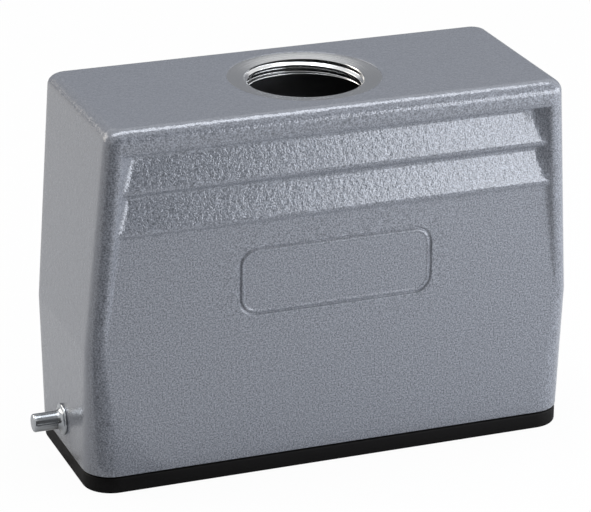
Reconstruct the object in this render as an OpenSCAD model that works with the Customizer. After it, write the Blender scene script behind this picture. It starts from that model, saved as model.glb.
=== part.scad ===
// Hood of a heavy duty rectangular connector, 24 contacts and earth.
// The origin is the centre of the seal's underside, +X along the hood, +Z up to the cable entry.

/* [Hood casting] */
// Length of the hood at its rim
hood_l = 120; // [116:1:140]
// Width of the hood at its rim
hood_w = 43; // [42:0.5:48]
// Height of the casting from its rim to its top face
hood_h = 84.7; // [80:1:110]
// Length of the hood at its top face
top_l = 111.5; // [108:0.5:116]
// Width of the hood at its top face
top_w = 48.4; // [46:0.2:50]
// Height of the waist above the rim, where the ends start to taper
waist_h = 30.9; // [26:0.5:40]
// Corner radius in plan at the rim
rim_r = 7; // [5:0.5:9]
// Corner radius in plan at the waist
waist_r = 3.8; // [1.6:0.2:5]
// Corner radius in plan at the top
top_r = 3.2; // [1:0.2:4]
// Fillet between the sides and the top face
top_edge_r = 2.8; // [1:0.2:4]
// Thickness of the four side walls
side_wall = 3.4; // [2.8:0.1:4]
// Thickness of the top wall, which is also the length of the entry thread
top_wall = 4.2; // [3:0.2:8]

/* [Grip louvres] */
// Height of the band above the louvres
band_h = 6.2; // [5:0.2:8]
// Number of louvres on each long side
louvre_count = 2; // [1:1:2]
// Height of one sloped louvre face
louvre_face_h = 9; // [6:0.2:10]
// Height of the groove above each louvre
louvre_groove_h = 1; // [0.6:0.1:3]
// Depth of the grooves behind the plain face of the hood
louvre_depth = 1.1; // [0.4:0.1:1.4]
// How far each louvre's lip stands in front of the plain face
louvre_proud = 0.9; // [0.4:0.1:1.4]
// Rounding of the lips
lip_r = 1.3; // [0.6:0.1:1.4]
// Width of the pillar left at each end of the louvre pocket
pillar_w = 3.6; // [2.4:0.2:6]

/* [Badge field] */
// Length of the outline of the badge field
badge_l = 48; // [30:1:70]
// Height of the outline of the badge field
badge_h = 16.8; // [10:0.2:18]
// Height of the badge field's middle above the rim
badge_z = 44; // [36:0.5:46]
// Corner radius of the outline
badge_r = 4; // [1:0.5:5]
// Width of the outline's groove
badge_groove_w = 0.8; // [0.4:0.1:1.5]
// Depth of the outline's groove
badge_groove_d = 0.35; // [0.2:0.05:0.8]

/* [Cable entry] */
// Major diameter of the entry thread
entry_d = 28.3; // [20:0.1:32]
// Outer diameter of the machined ring round the entry
entry_ring_d = 36.2; // [34:0.1:40]
// Depth of the machined ring at the thread
entry_ring_depth = 0.45; // [0.2:0.05:1]

/* [Seal] */
// Height of the seal below the rim
seal_h = 4.35; // [3:0.05:8]
// Height of the recessed neck under the rim
seal_neck_h = 0.45; // [0.3:0.05:1]
// How far the neck is set back from the outline
seal_neck_in = 0.6; // [0.3:0.1:0.9]
// Width of the tongue that sits in the rim
seal_tongue_w = 1.4; // [1:0.1:1.6]
// Height of the tongue that sits in the rim
seal_tongue_h = 1.6; // [1:0.1:3]

/* [Locking pegs] */
// Diameter of a locking peg
peg_d = 4.4; // [3:0.1:6]
// Length of a peg outside the hood
peg_l = 7.6; // [5:0.1:12]
// Height of the peg's axis above the rim
peg_z = 6.5; // [5.5:0.1:12]
// Diameter of the peg's collar
peg_collar_d = 7.6; // [6.5:0.1:10]
// Thickness of the collar's cylindrical edge
peg_collar_edge = 0.4; // [0.2:0.1:1]
// Diameter of the shank riveted into the wall
peg_shank_d = 5; // [4:0.1:6]
// Chamfer at the peg's tip
peg_tip_c = 0.4; // [0.1:0.1:1]

/* [Contact insert] */
// Gap between the insert's flange and the hood's walls
flange_gap = 1.1; // [0.5:0.1:1.5]
// Thickness of the insert's flange
flange_t = 3; // [2:0.2:5]
// Height of the fixing bosses' faces above the rim
boss_z = 20.2; // [18:0.2:24]
// Distance of the fixing screws from the flange's edges
fix_edge = 3.5; // [3.5:0.1:5]
// Diameter of the fixing screws
fix_d = 4; // [3:0.5:4]
// Length of thread in each fixing boss
fix_depth = 8; // [5:0.5:12]
// Diameter of a fixing boss
boss_d = 8.4; // [8:0.2:9]
// Length of a fixing boss
boss_l = 14; // [13:0.5:20]
// Contacts in each of the two rows
contacts_per_row = 12; // [12:1:12]
// Distance between neighbouring contacts in a row
contact_pitch = 6.6; // [6:0.1:6.8]
// Distance between the two rows of contacts
row_pitch = 13; // [11:0.5:14]
// Thickness of the block beyond the last terminals of a row
block_end = 3.3; // [2:0.1:5]
// Thickness of the block's long walls
block_wall = 3.5; // [2:0.1:4]
// Height of the block above the flange, on the wiring side
wiring_h = 13; // [12:0.5:16]
// Height of the block below the flange, on the mating side
mating_h = 3; // [1:0.5:4]
// Diameter of a contact pin
pin_d = 2.5; // [1.6:0.1:3]
// Length of a pin below the block
pin_l = 10.5; // [7:0.5:11]
// Diameter of a contact's shank inside the block
shank_d = 3.4; // [3.2:0.1:4]
// Size of a terminal along the row
terminal_x = 4.8; // [4:0.1:5]
// Size of a terminal across the row
terminal_y = 6; // [5:0.2:7]
// Height of a terminal
terminal_z = 9; // [8:0.5:10]
// Diameter of the wire hole in a terminal
wire_d = 2.6; // [1.5:0.1:3]
// Diameter of the terminal screws
terminal_screw_d = 3; // [2.5:0.1:3]
// Length of a terminal screw
terminal_screw_l = 3.2; // [2.6:0.2:4]

/* [Earthing] */
// Width of an earth plate along the hood
earth_w = 8.5; // [8:0.1:9]
// Corner radius of an earth plate
earth_r = 2.5; // [1.5:0.1:3]
// Thickness of an earth plate
earth_t = 1.5; // [1:0.1:2]
// Width of the earth tongue
tongue_w = 6; // [4:0.5:8]
// Length of the earth tongue below the flange
tongue_l = 11; // [8:0.5:13]
// Diameter of the earth screw
earth_screw_d = 4; // [3:0.5:4]
// Side of the square clamp washer
clamp_side = 8; // [7:0.1:8.4]

/* [Hidden] */
$fn = 48;

// Clearances: a hair on parts that are fastened, more where one slides in
fit = 0.05;
slide = 0.15;
eps = 0.01;

// Levels, from the seal's underside up
rim_z = seal_h;
waist_z = rim_z + waist_h;
top_z = rim_z + hood_h;
ceiling_z = top_z - top_wall;
seat_z = rim_z + boss_z;
flange_top = seat_z - earth_t;
flange_bottom = flange_top - flange_t;
mating_z = flange_bottom - mating_h;
block_top = flange_top + wiring_h;
terminal_top = block_top - 1;
terminal_floor = terminal_top - terminal_z;

// The hollow inside the hood
inner_l = hood_l - 2 * side_wall;
inner_w = hood_w - 2 * side_wall;
inner_top_l = top_l - 2 * side_wall;
inner_r = max(rim_r - side_wall, 0.8);

// The insert follows the hollow that it sits in and the contacts that it holds
flange_l = inner_l - 2 * flange_gap;
flange_w = inner_w - 2 * flange_gap;
fix_pitch_x = flange_l - 2 * fix_edge;
fix_pitch_y = flange_w - 2 * fix_edge;
block_l = (contacts_per_row - 1) * contact_pitch + terminal_x + 2 * block_end;
block_w = row_pitch + terminal_y + 2 * block_wall;

// The pocket in each long side, as distances from the hood's middle plane
face_d = hood_w / 2;
groove_d = face_d - louvre_depth;
lip_d = face_d + louvre_proud;
louvre_pitch = louvre_face_h + louvre_groove_h;
shoulder_z = top_z - top_edge_r;
band_z = top_z - band_h;
lowest_lip_z = band_z - louvre_count * louvre_pitch;
pocket_draft = 1; // run of the pocket's end walls per unit of depth
function rise(z) = (z - waist_z) / (shoulder_z - waist_z);
function lean(z) = face_d + (top_w / 2 - face_d) * rise(z);
function half_l(z) = hood_l / 2 + (top_l - hood_l) / 2 * rise(z);
function pocket_x(d, z) = half_l(z) - pillar_w - (lean(z) - d) * pocket_draft;

// Screws and washers
head_d = 7;
head_h = 2.6;
slot_w = 1;
slot_depth = 1.2;
spring_t = 0.9;
spring_gap = 0.8;
clamp_t = 1.2;
earth_x = fix_pitch_x / 2;
terminal_screw_z = terminal_top - 3.4;
access_d = terminal_screw_d + 0.8;

// Rounded rectangle from squares and circles
module rounded_rect(l, w, r) {
    square([l - 2 * r, w], center = true);
    square([l, w - 2 * r], center = true);
    for (x = [-1, 1], y = [-1, 1])
        translate([x * (l / 2 - r), y * (w / 2 - r)]) circle(r = r);
}

// Thin slice of a rounded rectangle, to be joined to others by hull
module slice(z, l, w, r) {
    translate([0, 0, z]) linear_extrude(height = eps) rounded_rect(l, w, r, $fn = 32);
}

module both_sides() {
    children();
    rotate([0, 0, 180]) children();
}

module at_corners(dx, dy) {
    for (x = [-1, 1], y = [-1, 1]) translate([x * dx / 2, y * dy / 2, 0]) children();
}

// Every contact's place, row by row from the left
module at_contact(i) {
    x = (i % contacts_per_row - (contacts_per_row - 1) / 2) * contact_pitch;
    side = i < contacts_per_row ? -1 : 1;
    translate([x, side * row_pitch / 2, 0]) rotate([0, 0, side < 0 ? 0 : 180]) children();
}

// Screw pointing up, its head's underside at z = 0
module slotted_screw(d, l, head, height) {
    difference() {
        union() {
            translate([0, 0, -height]) cylinder(d = head, h = height);
            translate([0, 0, -eps]) cylinder(d = d - 2 * fit, h = l);
        }
        translate([-head, -slot_w / 2, -height - 1])
            cube([2 * head, slot_w, slot_depth + 1]);
    }
}

// Outer form: straight sides to the waist, then ends that taper in and sides that lean out
module hood_outside() {
    hull() {
        slice(rim_z, hood_l, hood_w, rim_r);
        slice(waist_z, hood_l, hood_w, waist_r);
    }
    hull() {
        slice(waist_z, hood_l, hood_w, waist_r);
        for (a = [0 : 15 : 90]) {
            inset = top_edge_r * (1 - cos(a));
            slice(shoulder_z + top_edge_r * sin(a) - eps,
                  top_l - 2 * inset, top_w - 2 * inset, max(top_r - inset * 0.4, 0.4));
        }
    }
}

module hood_hollow() {
    hull() {
        slice(rim_z - eps, inner_l, inner_w, inner_r);
        slice(waist_z, inner_l, inner_w, inner_r);
        slice(ceiling_z - eps, inner_top_l, inner_w, inner_r);
    }
}

// One louvre in section: a groove wall, a sloped face and a rounded lip at its foot
module louvre_section(z) {
    slope = atan((lip_d - groove_d) / louvre_face_h);
    polygon(concat(
        [[0, z + louvre_face_h], [0, z], [groove_d, z]],
        [for (a = [-90 : 17 : slope])
            [lip_d - lip_r + lip_r * cos(a), z + lip_r + lip_r * sin(a)]],
        [[groove_d, z + louvre_face_h]]));
}

// The foot of the band above the louvres, rounded like the lips
module band_section() {
    foot = lean(band_z);
    polygon(concat(
        [[0, band_z + 2 * lip_r], [0, band_z]],
        [for (a = [-90 : 15 : 0])
            [foot - lip_r + lip_r * cos(a), band_z + lip_r + lip_r * sin(a)]],
        [[foot + 1, band_z + 2 * lip_r]]));
}

// Carries a section drawn as (distance from the middle plane, height) along the front side
module along_front(l) {
    rotate([90, 0, -90]) linear_extrude(height = l, center = true) children();
}

// Space in front of the pocket's deepest level, with drafted ends, on the front side
module pocket_space() {
    low = waist_z;
    high = band_z + lip_r;
    out = top_w / 2 + 2;
    corners = [for (d = [groove_d, out], z = [low, high], s = [-1, 1])
        [s * pocket_x(d, z), -d, z]];
    polyhedron(points = corners, faces = [
        [0, 1, 3, 2], [4, 6, 7, 5], [0, 4, 5, 1], [2, 3, 7, 6], [0, 2, 6, 4], [1, 5, 7, 3]]);
}

module pocket_cut() {
    difference() {
        pocket_space();
        along_front(2 * hood_l) {
            square([face_d, lowest_lip_z + lip_r]);
            for (i = [1 : louvre_count]) louvre_section(band_z - i * louvre_pitch);
            band_section();
        }
    }
}

module badge_groove() {
    translate([0, -face_d + badge_groove_d, rim_z + badge_z]) rotate([90, 0, 0])
        linear_extrude(height = 1) difference() {
            rounded_rect(badge_l, badge_h, badge_r);
            rounded_rect(badge_l - 2 * badge_groove_w, badge_h - 2 * badge_groove_w,
                         badge_r - badge_groove_w);
        }
}

// Corner post that takes one fixing screw, grown into the end and side walls
module fixing_boss() {
    reach_x = inner_l / 2 - fix_pitch_x / 2 + side_wall / 2;
    reach_y = inner_w / 2 - fix_pitch_y / 2 + side_wall / 2;
    translate([0, 0, seat_z]) {
        cylinder(d = boss_d, h = boss_l);
        translate([0, -boss_d / 2, 0]) cube([reach_x, boss_d / 2 + reach_y, boss_l]);
        translate([-boss_d / 2, 0, 0]) cube([boss_d / 2 + eps, reach_y, boss_l]);
    }
}

module fixing_bosses() {
    intersection() {
        for (x = [0, 1], y = [0, 1]) mirror([x, 0, 0]) mirror([0, y, 0])
            translate([fix_pitch_x / 2, fix_pitch_y / 2, 0]) fixing_boss();
        translate([0, 0, seat_z + boss_l / 2])
            cube([top_l + side_wall, hood_w - side_wall, boss_l + 1], center = true);
    }
}

module hood() {
    color("#8d9093") difference() {
        union() {
            difference() {
                hood_outside();
                hood_hollow();
                both_sides() pocket_cut();
                badge_groove();
            }
            fixing_bosses();
        }
        // Cable entry: plain at the thread's major diameter, with a shallow machined ring
        translate([0, 0, ceiling_z - 1]) cylinder(d = entry_d, h = top_wall + 2);
        translate([0, 0, top_z - entry_ring_depth])
            cylinder(d1 = entry_d, d2 = entry_ring_d, h = entry_ring_depth, $fn = 96);
        // Groove for the seal's tongue
        translate([0, 0, rim_z - eps]) linear_extrude(height = seal_tongue_h + slide + eps)
            rim_band(side_wall / 2, seal_tongue_w + 2 * fit);
        // Holes for the pegs' shanks
        both_sides() translate([inner_l / 2 - 1, 0, rim_z + peg_z]) rotate([0, 90, 0])
            cylinder(d = peg_shank_d, h = side_wall + 2);
        // Tapped holes for the fixing screws
        translate([0, 0, seat_z - 1]) at_corners(fix_pitch_x, fix_pitch_y)
            cylinder(d = fix_d, h = fix_depth + 3);
    }
}

// Ring of width w whose middle line lies a distance in from the hood's outline
module rim_band(inset, w) {
    outer = inset - w / 2;
    inner = inset + w / 2;
    difference() {
        rounded_rect(hood_l - 2 * outer, hood_w - 2 * outer, rim_r - outer);
        rounded_rect(hood_l - 2 * inner, hood_w - 2 * inner, max(rim_r - inner, 0.6));
    }
}

module seal() {
    neck_w = side_wall - seal_neck_in;
    color("#1b1a1a") {
        linear_extrude(height = seal_h - seal_neck_h) rim_band(side_wall / 2, side_wall);
        translate([0, 0, seal_h - seal_neck_h - eps]) linear_extrude(height = seal_neck_h + eps)
            rim_band(seal_neck_in + neck_w / 2, neck_w);
        translate([0, 0, rim_z - eps]) linear_extrude(height = seal_tongue_h + eps)
            rim_band(side_wall / 2, seal_tongue_w);
    }
}

// Peg turned about the X axis: shank in the wall, flared collar, plain pin, chamfered tip
module locking_peg() {
    pin = peg_d / 2;
    collar = peg_collar_d / 2;
    flare = peg_collar_edge + collar - pin;
    color("#c4c7c9") translate([hood_l / 2, 0, rim_z + peg_z]) rotate([0, 90, 0])
        rotate_extrude() polygon([
            [0, -side_wall], [peg_shank_d / 2 - fit, -side_wall], [peg_shank_d / 2 - fit, 0],
            [collar, 0], [collar, peg_collar_edge], [pin, flare], [pin, peg_l - peg_tip_c],
            [pin - peg_tip_c, peg_l], [0, peg_l]]);
}

module locking_peg_left() { rotate([0, 0, 180]) locking_peg(); }
module locking_peg_right() { locking_peg(); }

// Moulded body: a flange that screws to the bosses, and a block with a chamber for each contact
module insert_body() {
    chamber_x = terminal_x + 2 * slide;
    chamber_y = terminal_y + 2 * slide;
    color("#b9b8ae") difference() {
        union() {
            translate([0, 0, flange_bottom]) linear_extrude(height = flange_t)
                rounded_rect(flange_l, flange_w, 2);
            translate([-block_l / 2, -block_w / 2, mating_z])
                cube([block_l, block_w, block_top - mating_z]);
        }
        for (i = [0 : 2 * contacts_per_row - 1]) at_contact(i) {
            translate([-chamber_x / 2, -chamber_y / 2, terminal_floor])
                cube([chamber_x, chamber_y, terminal_z + 2]);
            translate([0, 0, mating_z - 1]) cylinder(d = shank_d + 2 * fit, h = terminal_floor);
            translate([0, 0, terminal_screw_z]) rotate([90, 0, 0])
                cylinder(d = access_d, h = block_w);
        }
        translate([0, 0, flange_bottom - 1]) {
            at_corners(fix_pitch_x, fix_pitch_y) cylinder(d = fix_d + 2 * slide, h = flange_t + 2);
            both_sides() translate([earth_x, 0, 0])
                cylinder(d = earth_screw_d + 2 * slide, h = flange_t + 2);
            both_sides() translate([earth_x - earth_w / 2 - slide, -tongue_w / 2 - slide, 0])
                cube([earth_t + 2 * slide, tongue_w + 2 * slide, flange_t + 2]);
        }
    }
}

// Turned contact: a terminal with its wire hole and screw hole, a shank, and a round pin
module contact(i) {
    tip_z = mating_z - pin_l + pin_d / 2;
    shoulder = (shank_d - pin_d) / 2;
    color("#d0d0cb") at_contact(i) difference() {
        union() {
            translate([-terminal_x / 2, -terminal_y / 2, terminal_floor])
                cube([terminal_x, terminal_y, terminal_z]);
            translate([0, 0, mating_z])
                cylinder(d = shank_d, h = terminal_floor - mating_z + eps);
            translate([0, 0, mating_z - shoulder])
                cylinder(d1 = pin_d, d2 = shank_d, h = shoulder);
            translate([0, 0, tip_z]) cylinder(d = pin_d, h = mating_z - shoulder - tip_z);
            translate([0, 0, tip_z]) sphere(d = pin_d);
        }
        translate([0, 0, terminal_screw_z - wire_d])
            cylinder(d = wire_d, h = terminal_z);
        translate([0, 0, terminal_screw_z]) rotate([90, 0, 0])
            cylinder(d = terminal_screw_d, h = terminal_y);
    }
}

module terminal_screws() {
    outer = terminal_y / 2 + 0.6;
    color("#b9bcbe") for (i = [0 : 2 * contacts_per_row - 1]) at_contact(i)
        translate([0, 0, terminal_screw_z]) rotate([90, 0, 0]) difference() {
            translate([0, 0, outer - terminal_screw_l])
                cylinder(d = terminal_screw_d - 2 * fit, h = terminal_screw_l);
            translate([-terminal_screw_d, -0.3, outer - 0.8]) cube([2 * terminal_screw_d, 0.6, 2]);
        }
}

// Plate clamped between the flange and the bosses, with a tongue that reaches the mating side
module earth_plate() {
    w = flange_w - 2 * slide;
    color("#c9b98f") difference() {
        union() {
            translate([earth_x, 0, flange_top]) linear_extrude(height = earth_t)
                rounded_rect(earth_w, w, earth_r);
            translate([earth_x - earth_w / 2, -tongue_w / 2, flange_bottom - tongue_l])
                cube([earth_t, tongue_w, flange_t + tongue_l + earth_t]);
        }
        translate([0, 0, flange_top - 1]) {
            at_corners(fix_pitch_x, fix_pitch_y) cylinder(d = fix_d + 2 * slide, h = earth_t + 2);
            translate([earth_x, 0, 0]) cylinder(d = earth_screw_d, h = earth_t + 2);
        }
    }
}

module earth_plate_left() { rotate([0, 0, 180]) earth_plate(); }
module earth_plate_right() { earth_plate(); }

module clamp_washer() {
    color("#c4c7c9") translate([earth_x, 0, seat_z]) linear_extrude(height = clamp_t)
        difference() {
            square(clamp_side, center = true);
            circle(d = earth_screw_d + 2 * slide);
        }
}

module clamp_washer_left() { rotate([0, 0, 180]) clamp_washer(); }
module clamp_washer_right() { clamp_washer(); }

module earth_screw() {
    color("#c4c7c9") translate([earth_x, 0, seat_z + clamp_t]) rotate([180, 0, 0])
        slotted_screw(earth_screw_d, clamp_t + earth_t + flange_t, head_d, head_h);
}

module earth_screw_left() { rotate([0, 0, 180]) earth_screw(); }
module earth_screw_right() { earth_screw(); }

module fixing_screws() {
    color("#c4c7c9") translate([0, 0, flange_bottom - spring_t])
        at_corners(fix_pitch_x, fix_pitch_y)
            slotted_screw(fix_d, spring_t + flange_t + earth_t + fix_depth, head_d, head_h);
}

module spring_washers() {
    color("#8f9294") translate([0, 0, flange_bottom - spring_t])
        at_corners(fix_pitch_x, fix_pitch_y) linear_extrude(height = spring_t) difference() {
            circle(d = head_d);
            circle(d = fix_d + 2 * slide);
            translate([0, -spring_gap / 2]) square([head_d, spring_gap]);
        }
}

hood();
seal();
locking_peg_left();
locking_peg_right();
insert_body();
contact(0);  // contact_01
contact(1);  // contact_02
contact(2);  // contact_03
contact(3);  // contact_04
contact(4);  // contact_05
contact(5);  // contact_06
contact(6);  // contact_07
contact(7);  // contact_08
contact(8);  // contact_09
contact(9);  // contact_10
contact(10);  // contact_11
contact(11);  // contact_12
contact(12);  // contact_13
contact(13);  // contact_14
contact(14);  // contact_15
contact(15);  // contact_16
contact(16);  // contact_17
contact(17);  // contact_18
contact(18);  // contact_19
contact(19);  // contact_20
contact(20);  // contact_21
contact(21);  // contact_22
contact(22);  // contact_23
contact(23);  // contact_24
terminal_screws();
earth_plate_left();
earth_plate_right();
clamp_washer_left();
clamp_washer_right();
earth_screw_left();
earth_screw_right();
fixing_screws();
spring_washers();
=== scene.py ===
"""Dresses the hood of a heavy duty rectangular connector: coat, seal, pegs, thread and insert."""
import bpy
import numpy as np
from mathutils import Matrix, Vector


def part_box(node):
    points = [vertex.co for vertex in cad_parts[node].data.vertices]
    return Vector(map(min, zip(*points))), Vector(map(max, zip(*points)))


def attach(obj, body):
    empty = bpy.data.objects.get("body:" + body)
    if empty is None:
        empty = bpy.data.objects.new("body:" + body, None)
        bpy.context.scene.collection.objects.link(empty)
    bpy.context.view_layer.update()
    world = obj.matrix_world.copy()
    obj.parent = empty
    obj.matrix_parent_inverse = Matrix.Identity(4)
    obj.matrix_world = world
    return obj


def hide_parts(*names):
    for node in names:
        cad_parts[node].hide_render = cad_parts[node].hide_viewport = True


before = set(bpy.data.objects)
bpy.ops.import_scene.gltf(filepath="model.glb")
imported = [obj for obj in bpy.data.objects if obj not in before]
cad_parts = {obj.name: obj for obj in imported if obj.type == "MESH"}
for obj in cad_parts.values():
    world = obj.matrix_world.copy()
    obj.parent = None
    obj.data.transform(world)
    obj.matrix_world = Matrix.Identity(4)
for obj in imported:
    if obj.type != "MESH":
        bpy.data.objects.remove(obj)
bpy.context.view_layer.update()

bl_info = {
    "name": "Heavy duty connector hood",
    "version": (1, 0, 0),
    "blender": (4, 5, 0),
    "location": "View3D > Sidebar > Connector",
    "description": "Coats, seals and finishes a cast connector hood with its insert",
    "category": "Add Mesh",
}

MM = 0.001
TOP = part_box("hood")[1].z
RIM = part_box("hood")[0].z
CONTACTS = sorted(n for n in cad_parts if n.startswith("contact_"))
SCREWS = ["clamp_washer_left", "clamp_washer_right", "earth_screw_left", "earth_screw_right",
          "fixing_screws", "terminal_screws"]


def linear(code):
    """Linear colour of an sRGB hex code."""
    srgb = np.array([int(code[i:i + 2], 16) for i in (1, 3, 5)]) / 255
    return tuple(np.where(srgb <= 0.04045, srgb / 12.92, ((srgb + 0.055) / 1.055) ** 2.4))


def length(name, description, value):
    """A length property; the value is in millimetres and is kept in metres."""
    return bpy.props.FloatProperty(name=name, description=description, default=value * MM,
                                   min=0, unit="LENGTH", precision=5)


def colour(name, description, code):
    """A colour property, whose default is given as an sRGB hex code."""
    return bpy.props.FloatVectorProperty(name=name, description=description, size=3, min=0, max=1,
                                         subtype="COLOR", default=linear(code))


class HoodSizes(bpy.types.PropertyGroup):
    """Sizes of the cast hood and of the coat on it"""
    hood_l: length("Rim length", "Length of the hood at its rim", 120)
    hood_w: length("Rim width", "Width of the hood at its rim", 43)
    top_l: length("Top length", "Length of the hood at its top face", 111.5)
    top_w: length("Top width", "Width of the hood at its top face", 48.4)
    waist_h: length("Waist height", "Height above the rim where the ends start to taper", 30.9)
    rim_r: length("Rim corner", "Corner radius in plan at the rim", 7)
    waist_r: length("Waist corner", "Corner radius in plan at the waist", 3.8)
    top_r: length("Top corner", "Corner radius in plan at the top", 3.2)
    top_edge_r: length("Top fillet", "Fillet between the sides and the top face", 2.8)
    band_h: length("Band height", "Height of the band above the louvres", 6.2)
    louvre_face_h: length("Louvre face", "Height of one sloped louvre face", 9)
    louvre_groove_h: length("Louvre groove", "Height of the groove above each louvre", 1)
    louvre_depth: length("Groove depth", "Depth of the grooves behind the plain face", 1.1)
    louvre_proud: length("Lip height", "How far each lip stands in front of the plain face", 0.9)
    lip_r: length("Lip rounding", "Radius of the louvres' lips", 1.5)
    cove_r: length("Cove radius", "Radius of the hollows under the louvres' lips", 1.2)
    pillar_w: length("Pillar width", "Width of the pillar at each end of the pocket", 3.6)
    badge_l: length("Badge length", "Length of the outline of the badge field", 48)
    badge_h: length("Badge height", "Height of the outline of the badge field", 16.8)
    badge_z: length("Badge middle", "Height of the badge field's middle above the rim", 44)
    badge_r: length("Badge corner", "Corner radius of the badge outline", 4)
    groove_w: length("Outline width", "Width of the badge outline's groove", 0.8)
    groove_d: length("Outline depth", "Depth of the badge outline's groove", 0.35)
    film: length("Coat thickness", "Thickness of the powder coat on the casting", 0.12)
    edge_soft: length("Edge softness", "How widely the coat rounds the pocket's edges", 0.45)


class FittingSizes(bpy.types.PropertyGroup):
    """Sizes of the cable entry, the seal and the locking pegs"""
    entry_d: length("Entry thread", "Major diameter of the cable entry", 28.3)
    ring_d: length("Machined ring", "Outer diameter of the machined ring", 36.2)
    ring_depth: length("Ring depth", "Depth of the machined ring at the thread", 0.45)
    top_wall: length("Entry length", "Thickness of the top wall at the entry", 4.2)
    thread_pitch: length("Thread pitch", "Distance between neighbouring crests", 2.3)
    thread_depth: length("Thread depth", "Height of the thread's crests", 0.76)
    seal_h: length("Seal height", "Height of the seal below the rim", 4.35)
    seal_w: length("Seal width", "Width of the seal's band", 3.4)
    peg_d: length("Peg diameter", "Diameter of a locking peg", 4.4)
    peg_l: length("Peg length", "Length of a peg outside the hood", 7.6)
    peg_z: length("Peg height", "Height of the peg's axis above the rim", 6.5)
    collar_d: length("Collar diameter", "Diameter of the peg's collar", 7.6)
    collar_edge: length("Collar edge", "Thickness of the collar's edge", 0.4)


class FinishColours(bpy.types.PropertyGroup):
    """Colours of the finishes and of the floor"""
    coat: colour("Powder coat", "Grey of the hammered powder coat", "#75787f")
    rubber: colour("Seal rubber", "Black of the nitrile rubber", "#080707")
    zinc: colour("Zinc plate", "Tint of the bright zinc plating", "#a2a5a8")
    aluminium: colour("Machined aluminium", "Tint of the turned aluminium", "#d9dadb")
    # The bare casting's dark grey is painted shade for the inside of the hood, darker than as-cast
    # aluminium
    casting: colour("Bare casting", "Tint of the as-cast aluminium inside", "#5f6063")
    moulding: colour("Insert moulding", "Grey of the glass-filled polycarbonate", "#b9b8ae")
    silver: colour("Contact plating", "Tint of the hard silver plating", "#d5d2ca")
    brass: colour("Earth strip", "Tint of the nickelled brass", "#c9b98f")
    spring: colour("Spring steel", "Grey of the phosphated spring steel", "#5c5d60")
    floor: colour("Floor", "Colour of the studio floor", "#d0d0d0")


# Meshes

def new_object(name, points, faces, material):
    """An object in the scene, made of points, faces and one material."""
    mesh = bpy.data.meshes.new(name)
    mesh.from_pydata(points, [], faces)
    mesh.materials.append(material)
    item = bpy.data.objects.new(name, mesh)
    bpy.context.scene.collection.objects.link(item)
    return item


def grid_piece(name, points, material, closed_up=False, cap=False):
    """A surface on a grid of rows and columns that closes across its columns.

    Rows go up while columns go counter-clockwise from above, so faces point outwards. closed_up
    joins the last row to the first, and cap closes each end row with one face.
    """
    rows, cols = points.shape[:2]
    index = np.arange(rows * cols).reshape(rows, cols)
    low = index if closed_up else index[:-1]
    high = np.roll(index, -1, 0) if closed_up else index[1:]
    quads = np.stack([low, np.roll(low, -1, 1), np.roll(high, -1, 1), high], -1).reshape(-1, 4)
    faces = quads.tolist()
    if cap:
        faces += [index[0, ::-1].tolist(), index[-1].tolist()]
    piece = new_object(name, points.reshape(-1, 3).tolist(), faces, material)
    piece.data.shade_smooth()
    piece.data.validate()
    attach(piece, "root")
    return piece


def blend_max(a, b, k):
    """The larger of two surfaces, with a quadratic fillet where they lie within k of each other."""
    h = np.clip(1 - np.abs(a - b) / k, 0, 1)
    return np.maximum(a, b) + h * h * k / 4


def blend_min(a, b, k):
    """The smaller of two surfaces, with the same fillet."""
    return -blend_max(-a, -b, k)


def turned(profile, count):
    """Points of a profile of (distance along the axis, radius) pairs, carried round the Z axis."""
    angle = np.linspace(0, 2 * np.pi, count, endpoint=False)
    z, r = np.array(profile).T
    return np.stack([r[:, None] * np.cos(angle), r[:, None] * np.sin(angle),
                     np.repeat(z[:, None], count, 1)], -1)


def arc(centre, radius, start, stop, count):
    """Points of a circular arc, angles in degrees, as (first, second) coordinate pairs."""
    a = np.radians(np.linspace(start, stop, count))
    return [(centre[0] + radius * np.cos(t), centre[1] + radius * np.sin(t)) for t in a]


def outline_columns(with_badge):
    """Columns round a rounded rectangle: two signed fractions, the corner's angle and the face.

    A column's point is fraction times (half size less radius) plus radius times the angle's
    direction. The face is -1 on the front, 1 on the back and 0 elsewhere. Columns are closer at
    the pocket's ends and, where with_badge is set, at the badge outline's ends on the front.
    """
    pocket_end, badge_out, badge_in = 0.925, 0.455, 0.335
    ends = np.linspace(1, pocket_end, 21)
    plain = np.linspace(pocket_end, 0, 15)[1:]
    badge = np.concatenate([np.linspace(pocket_end, badge_out, 10)[1:],
                            np.linspace(badge_out, badge_in, 43)[1:],
                            np.linspace(badge_in, 0, 9)[1:]])
    front, back = (np.concatenate([-ends, -mid, mid[::-1][1:], ends[::-1]])
                   for mid in ((badge if with_badge else plain), plain))
    side = np.linspace(-1, 1, 25)
    turn = np.linspace(0, np.pi / 2, 11)[1:-1]
    one, none = np.ones_like, np.zeros_like
    tx = np.concatenate([front, one(turn), one(side), one(turn), -back, -one(turn), -one(side),
                         -one(turn)])
    ty = np.concatenate([-one(front), -one(turn), side, one(turn), one(back), one(turn), -side,
                         -one(turn)])
    angle = np.concatenate([one(front) * -np.pi / 2, turn - np.pi / 2, none(side), turn,
                            one(back) * np.pi / 2, turn + np.pi / 2, one(side) * np.pi,
                            turn + np.pi])
    face = np.concatenate([-one(front), none(turn), none(side), none(turn), one(back), none(turn),
                           none(side), none(turn)])
    return tx, ty, angle, face


def rounded_rows(half_l, half_w, radius, z, columns):
    """Rounded rectangles at the heights z, each given by its half sizes and corner radius."""
    tx, ty, angle = columns[:3]
    half_l, half_w, radius, z = (np.asarray(v)[:, None] for v in (half_l, half_w, radius, z))
    x = tx * (half_l - radius) + radius * np.cos(angle)
    y = ty * (half_w - radius) + radius * np.sin(angle)
    return np.stack([x, y, z + 0 * x], -1)


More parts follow.
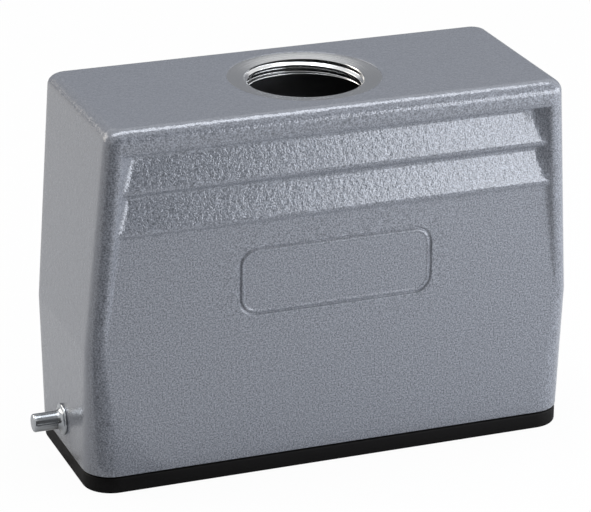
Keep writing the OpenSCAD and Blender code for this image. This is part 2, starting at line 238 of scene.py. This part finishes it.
def swelled(d, radius, step):
    """A section moved out by a ball's radius.

    It is the highest of the section's copies shifted along it, each raised by the height of the
    ball's profile at that shift.
    """
    reach = int(radius / step)
    padded = np.pad(d, reach, "edge")
    shifts = [padded[k:k + len(d)] + np.sqrt(radius ** 2 - ((k - reach) * step) ** 2)
              for k in range(2 * reach + 1)]
    return np.max(shifts, 0)


def lip_nose(out, up, radius):
    """A lip's quarter round: its reach out, less the radius, plus the circle's height at up."""
    return out - radius + np.sqrt(np.clip(radius ** 2 - (radius - up) ** 2, 0, None))


def coat_section(s, z):
    """Distance of the pocket's surface from the middle plane, as a function of height.

    Below the lowest lip it is the plain face. Each louvre is a quarter round lip, then a straight
    slope back to the groove, and the band's foot is rounded like a lip. Undersides rise eight
    times as fast as they go out. The whole is swelled by the coat's thickness plus the cove's
    radius and shrunk by the cove's radius, which rounds its hollows, and corners are softened by
    an average.
    """
    steep, clear, softening = 8, 1 * MM, 0.36 * MM
    face = s.hood_w / 2
    groove, lip = face - s.louvre_depth, face + s.louvre_proud
    band_z = TOP - s.band_h
    lowest = band_z - 2 * (s.louvre_face_h + s.louvre_groove_h)
    d = np.where(z < lowest, face, groove)
    for i in (1, 2):
        up = z - (band_z - i * (s.louvre_face_h + s.louvre_groove_h))
        slope = lip - (lip - groove) * np.clip(up - s.lip_r, 0, None) / (s.louvre_face_h - s.lip_r)
        here = np.where(up < s.lip_r, lip_nose(lip, up, s.lip_r), slope)
        d = np.where((up >= 0) & (up < s.louvre_face_h), here, d)
    d = np.where(z < lowest + s.lip_r, np.maximum(d, face), d)
    # Above its foot the band stands clear of the leaning side, which is then the smaller
    up = z - band_z
    shoulder = TOP - s.top_edge_r
    foot = face + (s.top_w / 2 - face) * (z - RIM - s.waist_h) / (shoulder - RIM - s.waist_h)
    band = np.where(up < s.lip_r, lip_nose(foot, up, s.lip_r), foot + clear)
    d = np.where(up >= 0, band, d)
    step = z[1] - z[0]
    d = np.maximum.accumulate((d - steep * z)[::-1])[::-1] + steep * z
    d = -swelled(-swelled(d, s.film + s.cove_r, step), s.cove_r, step)
    weights = np.hanning(int(softening / step) | 1)
    return np.convolve(np.pad(d, len(weights) // 2, "edge"), weights / weights.sum(), "valid")


def coat_rows(s, z, d):
    """Heights of the coat's rows, closer where the section turns and where the badge outline lies.

    The wanted density is added up along the height, and a row is laid at each whole number of the
    sum. The corners and lines are those of the badge outline.
    """
    plain, corner, line, waist = 0.4 / MM, 4.5 / MM, 6 / MM, 2.5 / MM
    turn_per_row = np.radians(7)
    slope = np.arctan(np.gradient(d, z))
    dense = plain + np.abs(np.gradient(slope, z)) / turn_per_row
    middle = RIM + s.badge_z
    off = np.abs(z - middle)
    at_corner = (off > s.badge_h / 2 - s.badge_r - 0.4 * MM) & (off < s.badge_h / 2 + 0.6 * MM)
    at_line = np.abs(off - s.badge_h / 2 + 0.3 * MM) < 1.3 * MM
    dense += at_corner * corner + at_line * line
    dense += waist * np.exp(-((z - RIM - s.waist_h) / (0.8 * MM)) ** 2)
    total = np.concatenate([[0], np.cumsum((dense[1:] + dense[:-1]) / 2 * np.diff(z))])
    return np.interp(np.linspace(0, total[-1], int(total[-1]) + 2), total, z)


def badge_relief(s, x, z):
    """Height of the badge outline above the face: a low bead, then a groove with a steep outer
    bank, interpolated over the distance from a rounded rectangle."""
    qx = np.abs(x) - (s.badge_l - s.groove_w) / 2 + s.badge_r
    qz = np.abs(z - RIM - s.badge_z) - (s.badge_h - s.groove_w) / 2 + s.badge_r
    away = (np.hypot(np.maximum(qx, 0), np.maximum(qz, 0)) + np.minimum(np.maximum(qx, qz), 0)
            - s.badge_r)
    # Distances in half widths of the groove, and heights in its depths
    distances = [-6, -2.5, -2.15, -1.1, 0, 0.3, 1, 2.5, 18]
    heights = [0, -0.1, 0.3, 0.2, -1, -1, 0.25, 0.2, 0]
    return np.interp(away / (s.groove_w / 2), distances, heights) * s.groove_d


def coat_sides(s, columns):
    """The coat's rows from rim to shoulder: rounded rectangles with the pocket in the long sides.

    There the distance from the middle plane is the smaller of the leaning side and the pocket,
    and the pocket is the larger of its section and its drafted end walls, both rounded.
    """
    waist, shoulder = RIM + s.waist_h, TOP - s.top_edge_r
    face = columns[3]
    fine = np.arange(RIM, shoulder + 0.005 * MM, 0.01 * MM)
    section = coat_section(s, fine)
    z = coat_rows(s, fine, section)
    rise = np.clip((z - waist) / (shoulder - waist), 0, 1)
    low = np.clip((z - RIM) / s.waist_h, 0, 1)
    half_l = s.hood_l / 2 + (s.top_l - s.hood_l) / 2 * rise
    half_w = s.hood_w / 2 + (s.top_w - s.hood_w) / 2 * rise
    radius = s.rim_r + (s.waist_r - s.rim_r) * low + (s.top_r - s.waist_r) * rise
    sides = rounded_rows(half_l + s.film, half_w + s.film, radius + s.film, z, columns)

    # The end walls go in at 45 degrees, so an even coat moves them by its thickness times the
    # tangent of 22.5 degrees. The edges' softness fades in above the waist, where they start.
    mitre, fade_in = 0.41, 3 * MM
    x = np.abs(sides[..., 0])
    lean = (half_w + s.film)[:, None]
    wall = lean + mitre * s.film - (half_l[:, None] - s.pillar_w - x)
    pocket = blend_max(np.interp(z, fine, section)[:, None] + 0 * x, wall, s.edge_soft)
    soft = s.edge_soft * np.clip((z - waist) / fade_in, 0, 1)[:, None] + 1e-9
    deep = blend_min(lean + 0 * x, pocket, soft)
    deep = np.where(z[:, None] > waist, deep, lean)
    deep = deep + badge_relief(s, sides[..., 0], z[:, None]) * (face < 0)
    sides[..., 1] = np.where(face != 0, face * deep, sides[..., 1])
    return sides


def coat_fillet(s, columns):
    """Rows over the top edge's fillet: rounded rectangles inset by its radius less a cosine."""
    corner_share = 0.4
    turn = np.radians(np.linspace(0, 90, 15)[1:])
    inset = s.top_edge_r * (1 - np.cos(turn))
    grow = s.film * np.cos(turn)
    return rounded_rows(s.top_l / 2 - inset + grow, s.top_w / 2 - inset + grow,
                        s.top_r - corner_share * inset + grow,
                        TOP - s.top_edge_r + (s.top_edge_r + s.film) * np.sin(turn), columns)


def coat_top(edge, ring):
    """Rows of the top face: points shared out between its edge and a circle.

    The circle lies just outside the machined ring of the given radius, and from there the coat
    rounds down to the bare metal.
    """
    around = np.arctan2(edge[:, 1], edge[:, 0])
    circle = np.stack([np.cos(around), np.sin(around)], -1)
    shares = np.array([0.04, 0.12, 0.25, 0.45, 0.65, 0.85, 0.96, 1])[:, None, None]
    flat = edge[:, :2] * (1 - shares) + circle * (ring + 0.16 * MM) * shares
    flat = np.concatenate([flat, np.full(flat.shape[:2] + (1,), edge[0, 2])], -1)
    lip = [(ring + 0.09 * MM, -0.02 * MM), (ring + 0.03 * MM, -0.06 * MM), (ring, -0.18 * MM)]
    lip = np.stack([np.concatenate([circle * r, np.full((len(circle), 1), edge[0, 2] + dz)], -1)
                    for r, dz in lip])
    return np.concatenate([flat, lip])


def coat_fold(s, columns):
    """Rows that fold in under the rim: rounded rectangles just inside and outside its outline."""
    # Millimetres outside the hood's outline, and above its rim
    steps = [(-0.7, -0.05), (-0.05, -0.06), (0.07, -0.03), (0.11, 0.04)]
    return np.concatenate([rounded_rows([s.hood_l / 2 + out * MM], [s.hood_w / 2 + out * MM],
                                        [s.rim_r + out * MM], [RIM + up * MM], columns)
                           for out, up in steps])


def coat_points(s, f):
    """The coat's surface: its fold, its sides, its fillet and its top face, one after another."""
    columns = outline_columns(with_badge=True)
    fillet = coat_fillet(s, columns)
    return np.concatenate([coat_fold(s, columns), coat_sides(s, columns)[1:], fillet,
                           coat_top(fillet[-1], f.ring_d / 2)])


def thread_points(f):
    """A helical ridge in the entry.

    The radius falls by a rounded trapezoid of the phase, which is height over pitch less angle
    over a turn, and the ridge fades out at both ends.
    """
    # Phase at the top, half the ridge's foot and its flank, as shares of the pitch
    start, half_foot, flank = 0.35, 0.36, 0.27
    inside, top_fade, foot_fade = 0.02 * MM, 0.5 * MM, 0.3 * MM
    angle = np.linspace(0, 2 * np.pi, 160, endpoint=False)
    top = TOP - f.ring_depth
    foot = TOP - f.top_wall
    z = np.linspace(foot, top, 110)[:, None]
    phase = np.mod((z - top) / f.thread_pitch - angle / (2 * np.pi) + start, 1)
    ridge = np.clip((half_foot - np.abs(phase - 0.5)) / flank, 0, 1)
    ridge = ridge * ridge * (3 - 2 * ridge)
    fade = np.clip((top - z) / top_fade, 0, 1) * np.clip((z - foot) / foot_fade, 0, 1)
    r = f.entry_d / 2 - inside - f.thread_depth * ridge * fade
    return np.stack([r * np.cos(angle), r * np.sin(angle), z + 0 * angle], -1)[::-1]


def seal_points(s, f):
    """A rounded section carried round the rim's outline: foot, outer face, neck under the rim."""
    columns = outline_columns(with_badge=False)
    soft, neck_h, neck_inset, lap = 0.45 * MM, 0.45 * MM, 0.6 * MM, 0.05 * MM
    top = f.seal_h - 0.02 * MM
    h, w = f.seal_h - neck_h, f.seal_w
    section = (arc((soft, soft), soft, 270, 180, 6) + arc((soft, h - soft), soft, 180, 90, 6)
               + [(neck_inset, h + lap), (neck_inset, top), (w, top), (w, h)]
               + arc((w - soft, soft), soft, 0, -90, 5))
    inset, z = np.array(section).T
    return rounded_rows(s.hood_l / 2 - inset, s.hood_w / 2 - inset,
                        np.maximum(s.rim_r - inset, 0.5 * MM), z, columns)


def peg_points(s, f, side):
    """A turned profile carried round the peg's axis: rounded collar, hollow quarter-round flare,
    pin and rounded tip. The rivet's root is buried in the hood's wall."""
    pin, collar = f.peg_d / 2, f.collar_d / 2
    tip, soft = 0.5 * MM, 0.3 * MM
    edge, flare = f.collar_edge + soft, collar - pin - soft
    root = [(-1.5 * MM, 2.4 * MM), (-0.02 * MM, 2.45 * MM), (0.0, collar - soft)]
    profile = (root
               + arc((soft, collar - soft), soft, 180, 90, 6)[1:]
               + arc((edge - soft, collar - soft), soft, 90, 20, 6)
               + arc((edge + flare, pin + flare), flare, 180, 270, 10)[1:]
               + [(f.peg_l - tip - 2 * MM, pin), (f.peg_l - tip - 0.2 * MM, pin)]
               + arc((f.peg_l - tip, pin - tip), tip, 90, 0, 8) + [(f.peg_l, 0.6 * MM)])
    points = turned(profile, 64)
    along = s.hood_l / 2 + points[..., 2]
    x, y, z = side * along, points[..., 0], points[..., 1] + RIM + f.peg_z
    return np.stack([x, side * y, z], -1)


# Materials

def add(tree, kind, links=None, **settings):
    """Adds a node, sets its attributes, and sets or links its input sockets."""
    node = tree.nodes.new(kind)
    for key, value in settings.items():
        setattr(node, key, value)
    for socket, source in (links or {}).items():
        if isinstance(source, bpy.types.NodeSocket):
            tree.links.new(source, node.inputs[socket])
        else:
            node.inputs[socket].default_value = source
    return node


def begin(name):
    """A material with an empty node tree, and its object coordinates."""
    material = bpy.data.materials.new(name)
    material.use_nodes = True
    tree = material.node_tree
    tree.nodes.clear()
    return material, tree, add(tree, "ShaderNodeTexCoord").outputs["Object"]


def finish(tree, shader):
    """Makes the shader the material's surface."""
    add(tree, "ShaderNodeOutputMaterial", {"Surface": shader.outputs[0]})


def rgba(value):
    """A colour with full opacity."""
    return (*value, 1)


def per(size_mm):
    """Scale of a pattern whose features are that many millimetres across."""
    return 1 / (size_mm * MM)


def hammered_powder_coat(colour):
    """Grey polyester powder coat with a fine hammer finish, sprayed and baked on the casting.

    To the eye it is a bluish grey with fine light and dark flecks, and a wet gloss that soft
    dimples break into a mottle wherever a light is mirrored. The flecks are painted stronger on
    the long faces: painted light and shade for the speckle that a grazing light draws there.
    """
    material, tree, place = begin("hammered_powder_coat")
    # Dimples about 1.1 mm apart, with a finer orange peel between them
    dimple = add(tree, "ShaderNodeTexNoise", {"Vector": place, "Scale": per(1.1), "Detail": 1.0,
                                              "Roughness": 0.5})
    peel = add(tree, "ShaderNodeTexNoise", {"Vector": place, "Scale": per(0.36), "Detail": 1.0,
                                            "Roughness": 0.5})
    height = add(tree, "ShaderNodeMath", {0: dimple.outputs[0], 1: 0.6}, operation="MULTIPLY")
    height = add(tree, "ShaderNodeMath", {0: peel.outputs[0], 1: 0.4, 2: height.outputs[0]},
                 operation="MULTIPLY_ADD")
    bump = add(tree, "ShaderNodeBump", {"Height": height.outputs[0], "Distance": 0.125 * MM,
                                        "Strength": 1.0})
    ramp = add(tree, "ShaderNodeMapRange", {"Value": peel.outputs[0], "From Min": 0.3,
                                            "From Max": 0.7})
    # The flecks' contrast is painted by facing: strongest on the long faces, weakest on the top
    # and ends. This is painted light and shade for the speckle that a grazing light draws on the
    # long faces
    facing = add(tree, "ShaderNodeNewGeometry").outputs["Normal"]
    side = add(tree, "ShaderNodeSeparateXYZ", {"Vector": facing}).outputs[1]
    side = add(tree, "ShaderNodeMath", {0: side}, operation="ABSOLUTE")
    side = add(tree, "ShaderNodeMapRange", {"Value": side.outputs[0], "From Min": 0.3,
                                            "From Max": 0.9, "To Min": 0.3, "To Max": 1.0})
    fleck_with_painted_speckle = add(tree, "ShaderNodeMath", {0: ramp.outputs[0], 1: 0.5}, operation="SUBTRACT")
    fleck_with_painted_speckle = add(tree, "ShaderNodeMath", {0: fleck_with_painted_speckle.outputs[0], 1: side.outputs[0], 2: 0.5},
                operation="MULTIPLY_ADD")
    # The mix node's colour sockets, 6 and 7, come after its float and vector ones
    fleck = add(tree, "ShaderNodeMix", {"Factor": fleck_with_painted_speckle.outputs[0]}, data_type="RGBA")
    fleck.inputs[6].default_value = rgba([c * 0.56 for c in colour])
    fleck.inputs[7].default_value = rgba([min(c * 1.47, 1) for c in colour])
    gloss = add(tree, "ShaderNodeMapRange", {"Value": dimple.outputs[0], "From Min": 0.3,
                                             "From Max": 0.7, "To Min": 0.12, "To Max": 0.18})
    shader = add(tree, "ShaderNodeBsdfPrincipled", {
        "Base Color": fleck.outputs[2], "Metallic": 0.1, "Roughness": gloss.outputs[0],
        "Normal": bump.outputs[0], "IOR": 1.55})
    finish(tree, shader)
    return material


def turned_aluminium(name, colour, f, cast_with_painted_shade=None):
    """Die-cast aluminium, turned bare at the cable entry after the coat was baked.

    To the eye the turned metal is a bright mirror drawn out into fine rings round the entry's
    axis. Where a colour is given for the metal as cast, the turned finish keeps to the ring and
    bore, and the rest is dull and faintly pitted, in a dark grey that is painted shade for the
    inside of the hood.
    """
    material, tree, place = begin(name)
    split = add(tree, "ShaderNodeSeparateXYZ", {"Vector": place})
    flat = add(tree, "ShaderNodeCombineXYZ", {"X": split.outputs[0], "Y": split.outputs[1]})
    radius = add(tree, "ShaderNodeVectorMath", {0: flat.outputs[0]}, operation="LENGTH")
    # Feed marks are near 0.1 mm and are drawn 0.3 mm apart, so that they show
    rings = add(tree, "ShaderNodeTexNoise", {"W": radius.outputs["Value"], "Scale": per(0.3),
                                             "Detail": 1.0}, noise_dimensions="1D")
    bump = add(tree, "ShaderNodeBump", {"Height": rings.outputs[0], "Distance": 0.025 * MM,
                                        "Strength": 1.0})
    bare = add(tree, "ShaderNodeBsdfPrincipled", {
        "Base Color": rgba(colour), "Metallic": 1.0, "Roughness": 0.18, "Normal": bump.outputs[0]})
    if cast_with_painted_shade is None:
        finish(tree, bare)
        return material
    grain = add(tree, "ShaderNodeTexNoise", {"Vector": place, "Scale": per(0.8), "Detail": 3.0})
    cast = add(tree, "ShaderNodeBump", {"Height": grain.outputs[0], "Distance": 0.08 * MM,
                                        "Strength": 0.7})
    # Dull, dark grey inside the hood: painted shade, darker than the bare metal would be
    dull = add(tree, "ShaderNodeBsdfPrincipled", {
        "Base Color": rgba(cast_with_painted_shade), "Metallic": 0.85, "Roughness": 0.6,
        "Normal": cast.outputs[0]})
    # The turned part ends just outside the ring, under the coat, and just below the bore
    near = add(tree, "ShaderNodeMath", {0: radius.outputs["Value"], 1: f.ring_d / 2 + 0.2 * MM},
               operation="LESS_THAN")
    high = add(tree, "ShaderNodeMath", {0: split.outputs[2], 1: TOP - f.top_wall - 0.1 * MM},
               operation="GREATER_THAN")
    both = add(tree, "ShaderNodeMath", {0: near.outputs[0], 1: high.outputs[0]},
               operation="MULTIPLY")
    finish(tree, add(tree, "ShaderNodeMixShader", {0: both.outputs[0], 1: dull.outputs[0],
                                                   2: bare.outputs[0]}))
    return material


def grained(name, colour, metallic, roughness, size_mm, depth_mm, spread=0.12, **extra):
    """A finish whose colour, gloss and height all follow one fine grain of a stated size."""
    material, tree, place = begin(name)
    grain = add(tree, "ShaderNodeTexNoise", {"Vector": place, "Scale": per(size_mm), "Detail": 3.0})
    bump = add(tree, "ShaderNodeBump", {"Height": grain.outputs[0], "Distance": depth_mm * MM,
                                        "Strength": 0.7})
    tone = add(tree, "ShaderNodeMix", {"Factor": grain.outputs[0]}, data_type="RGBA")
    tone.inputs[6].default_value = rgba([c * (1 - spread) for c in colour])
    tone.inputs[7].default_value = rgba([min(c * (1 + spread), 1) for c in colour])
    gloss = add(tree, "ShaderNodeMapRange", {"Value": grain.outputs[0], "From Min": 0.3,
                                             "From Max": 0.7, "To Min": roughness - 0.05,
                                             "To Max": roughness + 0.05})
    finish(tree, add(tree, "ShaderNodeBsdfPrincipled", {
        "Base Color": tone.outputs[2], "Metallic": metallic, "Roughness": gloss.outputs[0],
        "Normal": bump.outputs[0], **extra}))
    return material


def smooth_edges():
    """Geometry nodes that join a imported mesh's loose triangles and shade it smooth between its
    sharp edges."""
    weld, sharpest = 0.001 * MM, np.radians(28)
    tree = bpy.data.node_groups.new("smooth_between_edges", "GeometryNodeTree")
    tree.interface.new_socket("Geometry", in_out="INPUT", socket_type="NodeSocketGeometry")
    tree.interface.new_socket("Geometry", in_out="OUTPUT", socket_type="NodeSocketGeometry")
    source = add(tree, "NodeGroupInput")
    joined = add(tree, "GeometryNodeMergeByDistance", {"Geometry": source.outputs[0],
                                                       "Distance": weld})
    angle = add(tree, "GeometryNodeInputMeshEdgeAngle")
    sharp = add(tree, "FunctionNodeCompare", {0: angle.outputs[0], 1: sharpest},
                operation="GREATER_THAN")
    faces = add(tree, "GeometryNodeSetShadeSmooth", {"Geometry": joined.outputs[0],
                                                     "Shade Smooth": True}, domain="FACE")
    edges = add(tree, "GeometryNodeSetShadeSmooth", {
        "Geometry": faces.outputs[0], "Selection": sharp.outputs[0], "Shade Smooth": False},
        domain="EDGE")
    add(tree, "NodeGroupOutput", {0: edges.outputs[0]})
    return tree


def dress(names, material):
    """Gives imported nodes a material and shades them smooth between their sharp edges."""
    group = bpy.data.node_groups.get("smooth_between_edges") or smooth_edges()
    for name in names:
        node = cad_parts[name]
        node.data.materials.clear()
        node.data.materials.append(material)
        node.modifiers.new("smooth", "NODES").node_group = group


# Operators

class CONNECTOR_OT_powder_coat(bpy.types.Operator):
    """Lays the hammered powder coat over the casting's outside"""
    bl_idname = "connector.powder_coat"
    bl_label = "Powder coat"

    def execute(self, context):
        scene = context.scene
        grid_piece("powder_coat", coat_points(scene.connector_hood, scene.connector_fittings),
                   hammered_powder_coat(scene.connector_colours.coat))
        return {"FINISHED"}


class CONNECTOR_OT_casting(bpy.types.Operator):
    """Finishes the bare casting, which shows inside the hood and at the cable entry"""
    bl_idname = "connector.casting"
    bl_label = "Casting"

    def execute(self, context):
        scene = context.scene
        colours = scene.connector_colours
        dress(["hood"], turned_aluminium("die_cast_aluminium", colours.aluminium,
                                         scene.connector_fittings, cast_with_painted_shade=colours.casting))
        return {"FINISHED"}


class CONNECTOR_OT_entry(bpy.types.Operator):
    """Cuts the cable entry's thread"""
    bl_idname = "connector.entry"
    bl_label = "Cable entry"

    def execute(self, context):
        scene = context.scene
        fittings = scene.connector_fittings
        metal = turned_aluminium("turned_aluminium", scene.connector_colours.aluminium, fittings)
        grid_piece("entry_thread", thread_points(fittings), metal)
        return {"FINISHED"}


class CONNECTOR_OT_seal(bpy.types.Operator):
    """Fits the rubber seal under the rim"""
    bl_idname = "connector.seal"
    bl_label = "Seal"

    def execute(self, context):
        scene = context.scene
        # Moulded nitrile: a dead black with a faint brown bloom, a fine grain and almost no gloss
        rubber = grained("nitrile_rubber", scene.connector_colours.rubber, 0, 0.6, 0.5, 0.03, 0.2,
                         **{"Specular IOR Level": 0.1})
        piece = grid_piece("rim_seal", seal_points(scene.connector_hood, scene.connector_fittings),
                           rubber, closed_up=True)
        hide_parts("seal")
        return {"FINISHED"}


class CONNECTOR_OT_pegs(bpy.types.Operator):
    """Rivets the two locking pegs into the ends"""
    bl_idname = "connector.pegs"
    bl_label = "Locking pegs"

    def execute(self, context):
        scene = context.scene
        # Turned steel, plated bright: a clean, slightly dark mirror broken by faint turning marks
        zinc = grained("bright_zinc_plate", scene.connector_colours.zinc, 1, 0.2, 0.7, 0.006, 0.06)
        for name, side in (("left", -1), ("right", 1)):
            points = peg_points(scene.connector_hood, scene.connector_fittings, side)
            piece = grid_piece("peg_" + name, points, zinc, cap=True)
            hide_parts("locking_peg_" + name)
        return {"FINISHED"}


class CONNECTOR_OT_insert(bpy.types.Operator):
    """Finishes the insert, its contacts, screws and earth strips"""
    bl_idname = "connector.insert"
    bl_label = "Contact insert"

    def execute(self, context):
        c = context.scene.connector_colours
        # Moulded in an eroded tool: pale warm grey with a dull sheen, faintly mottled by the glass
        dress(["insert_body"], grained("glass_filled_polycarbonate", c.moulding, 0, 0.48, 0.6, 0.02,
                                       0.05, IOR=1.58))
        # Barrel plated over machined brass: a soft, slightly milky white mirror
        dress(CONTACTS, grained("hard_silver_plate", c.silver, 1, 0.28, 0.5, 0.004, 0.05))
        # Cold headed and plated in bulk: bluish and hazy, with uneven gloss from tumbling
        dress(SCREWS, grained("zinc_plated_screw_steel", c.zinc, 1, 0.32, 0.5, 0.006, 0.08))
        # Coiled, hardened and phosphated: dark, nearly matt, with a crystalline grain
        dress(["spring_washers"], grained("phosphated_spring_steel", c.spring, 1, 0.5, 0.4, 0.01))
        # Stamped from rolled strip under thin nickel: a satin metal that keeps the brass's warmth
        dress(["earth_plate_left", "earth_plate_right"],
              grained("nickelled_brass_strip", c.brass, 1, 0.3, 0.6, 0.006, 0.07))
        return {"FINISHED"}


class CONNECTOR_OT_stage(bpy.types.Operator):
    """Sets the pale floor, the soft lights and the camera"""
    bl_idname = "connector.stage"
    bl_label = "Stage"

    def execute(self, context):
        scene = context.scene
        scene.view_settings.view_transform = "Standard"
        self.world(scene)
        self.floor(scene)
        self.lights(scene)
        self.camera(scene)
        return {"FINISHED"}

    def world(self, scene):
        """A studio that is white to the camera and in mirrors, and fills matt surfaces weakly."""
        world = bpy.data.worlds.new("studio")
        scene.world = world
        world.use_nodes = True
        tree = world.node_tree
        tree.nodes.clear()
        path = add(tree, "ShaderNodeLightPath")
        seen = add(tree, "ShaderNodeMath", {0: path.outputs["Is Camera Ray"],
                                            1: path.outputs["Is Glossy Ray"]}, operation="MAXIMUM")
        seen = add(tree, "ShaderNodeMath", {0: seen.outputs[0],
                                            1: path.outputs["Is Transmission Ray"]},
                   operation="MAXIMUM")
        fill = add(tree, "ShaderNodeBackground", {"Color": (1, 1, 1, 1), "Strength": 0.31})
        white = add(tree, "ShaderNodeBackground", {"Color": (1, 1, 1, 1), "Strength": 1.0})
        mixed = add(tree, "ShaderNodeMixShader", {0: seen.outputs[0], 1: fill.outputs[0],
                                                  2: white.outputs[0]})
        add(tree, "ShaderNodeOutputWorld", {"Surface": mixed.outputs[0]})

    def floor(self, scene):
        """A pale painted floor that looks nearly white to the camera and keeps a soft shadow."""
        material, tree, _ = begin("studio_floor")
        path = add(tree, "ShaderNodeLightPath")
        paint = add(tree, "ShaderNodeBsdfDiffuse", {"Color": rgba(scene.connector_colours.floor)})
        white = add(tree, "ShaderNodeEmission", {"Color": (1, 1, 1, 1), "Strength": 1.0})
        share = add(tree, "ShaderNodeMath", {0: path.outputs["Is Camera Ray"], 1: 0.96},
                    operation="MULTIPLY")
        finish(tree, add(tree, "ShaderNodeMixShader", {0: share.outputs[0], 1: paint.outputs[0],
                                                       2: white.outputs[0]}))
        reach, z = 1.6, -0.05 * MM
        floor = new_object("floor", [(-reach, -reach, z), (reach, -reach, z), (reach, reach, z),
                                     (-reach, reach, z)], [(0, 1, 2, 3)], material)

    def lights(self, scene):
        """Soft boxes aimed at the hood, and the cards that its gloss mirrors between them."""
        # Name, place in metres, width, height, brightness of its face and tint. The box at the
        # front right is close, so its edge is mirrored half way along the louvres. The one
        # overhead draws the bright lines on the top edges, and the one behind on the left lights
        # the end face.
        boxes = [("front_right", (0.305, -0.235, 0.11), 0.49, 0.21, 5.6, (0.97, 1.0, 1.05)),
                 ("overhead", (0.0, 0.06, 1.1), 1.1, 0.46, 6.8, (0.97, 1.0, 1.05)),
                 ("left_back", (-0.88, 0.82, 0.45), 0.8, 0.9, 3.5, (1.07, 1.0, 0.9))]
        aim = Vector((0, 0, 0.06))
        for name, place, wide, tall, bright, tint in boxes:
            data = bpy.data.lights.new(name, "AREA")
            data.shape = "RECTANGLE"
            data.size, data.size_y, data.energy = wide, tall, bright * np.pi * wide * tall
            data.color = tint
            light = bpy.data.objects.new(name, data)
            scene.collection.objects.link(light)
            light.location = place
            light.rotation_euler = (aim - Vector(place)).to_track_quat("-Z", "Y").to_euler()
            light.visible_camera = False
        # Corners in metres, brightness and tint. The cards keep the lower louvres, the near corner
        # and the machined ring from mirroring white. The dark card on the floor is a dark mat at
        # the left front, and its narrow end by the hood's front left corner is painted shadow of
        # the floor, seen only in the gloss.
        self.card("front_card", [(-1.5, -1.2, 0.0), (0.5, -1.2, 0.0), (0.5, -1.2, 1.2),
                                 (-1.5, -1.2, 1.2)], 0.14, (1, 1, 1))
        self.card("dark_mat_painted_shadow", [(-0.7, -0.9, 0.001), (-0.16, -0.9, 0.001), (-0.04, -0.024, 0.001),
                               (-0.078, -0.024, 0.001), (-0.7, -0.2, 0.001)], 0.06, (1, 1, 1))
        self.card("back_card", [(-1.2, 1.1, 0.0), (1.6, 1.1, 0.0), (1.6, 1.1, 0.72),
                                (-1.2, 1.1, 0.72)], 0.28, (0.95, 0.98, 1.05))

    def card(self, name, corners, bright, tint):
        """A glowing card that is seen only in reflections."""
        material, tree, _ = begin(name)
        finish(tree, add(tree, "ShaderNodeEmission", {"Color": rgba(tint), "Strength": bright}))
        card = new_object(name, corners, [tuple(range(len(corners)))], material)
        card.visible_camera = card.visible_diffuse = card.visible_shadow = False
        card.visible_transmission = False

    def camera(self, scene):
        """A camera that looks at its aim from a distance, turned round it, lifted and rolled."""
        data = bpy.data.cameras.new("camera")
        data.sensor_fit, data.sensor_width, data.lens = "HORIZONTAL", 36, 193.09
        turn, lift, roll, away = np.radians(20.99), np.radians(21.54), np.radians(0.43), 0.7533
        aim = np.array([-1.86 * MM, 0, 44.24 * MM])
        back = np.array([-np.sin(turn) * np.cos(lift), -np.cos(turn) * np.cos(lift), np.sin(lift)])
        right = np.cross(-back, (0, 0, 1))
        right /= np.linalg.norm(right)
        up = np.cross(right, -back)
        across = right * np.cos(roll) + up * np.sin(roll)
        upward = up * np.cos(roll) - right * np.sin(roll)
        camera = bpy.data.objects.new("camera", data)
        scene.collection.objects.link(camera)
        turned_to = Matrix([Vector(v) for v in (across, upward, back)]).transposed()
        camera.matrix_world = Matrix.Translation(Vector(aim + back * away)) @ turned_to.to_4x4()
        scene.camera = camera


OPERATORS = [CONNECTOR_OT_stage, CONNECTOR_OT_powder_coat, CONNECTOR_OT_casting,
             CONNECTOR_OT_entry, CONNECTOR_OT_seal, CONNECTOR_OT_pegs, CONNECTOR_OT_insert]


class CONNECTOR_PT_panel(bpy.types.Panel):
    """Lists the operators, and the sizes and colours that they use"""
    bl_idname = "CONNECTOR_PT_panel"
    bl_label = "Connector"
    bl_space_type = "VIEW_3D"
    bl_region_type = "UI"
    bl_category = "Connector"

    def draw(self, context):
        scene = context.scene
        for operator in OPERATORS:
            self.layout.operator(operator.bl_idname)
        for group in (scene.connector_hood, scene.connector_fittings, scene.connector_colours):
            box = self.layout.box()
            for key in group.bl_rna.properties.keys():
                if key not in ("rna_type", "name"):
                    box.prop(group, key)


GROUPS = {"connector_hood": HoodSizes, "connector_fittings": FittingSizes,
          "connector_colours": FinishColours}


def register():
    """Registers the classes and gives the scene its sizes and colours."""
    for cls in [*GROUPS.values(), *OPERATORS, CONNECTOR_PT_panel]:
        bpy.utils.register_class(cls)
    for key, group in GROUPS.items():
        setattr(bpy.types.Scene, key, bpy.props.PointerProperty(type=group))


def unregister():
    """Takes back what register gave."""
    for key in GROUPS:
        delattr(bpy.types.Scene, key)
    for cls in [CONNECTOR_PT_panel, *OPERATORS[::-1], *GROUPS.values()]:
        bpy.utils.unregister_class(cls)


def main():
    """Makes the stage and every piece."""
    register()
    for operator in OPERATORS:
        group, name = operator.bl_idname.split(".")
        getattr(getattr(bpy.ops, group), name)()
    bpy.context.view_layer.update()


if __name__ == "__main__":
    main()
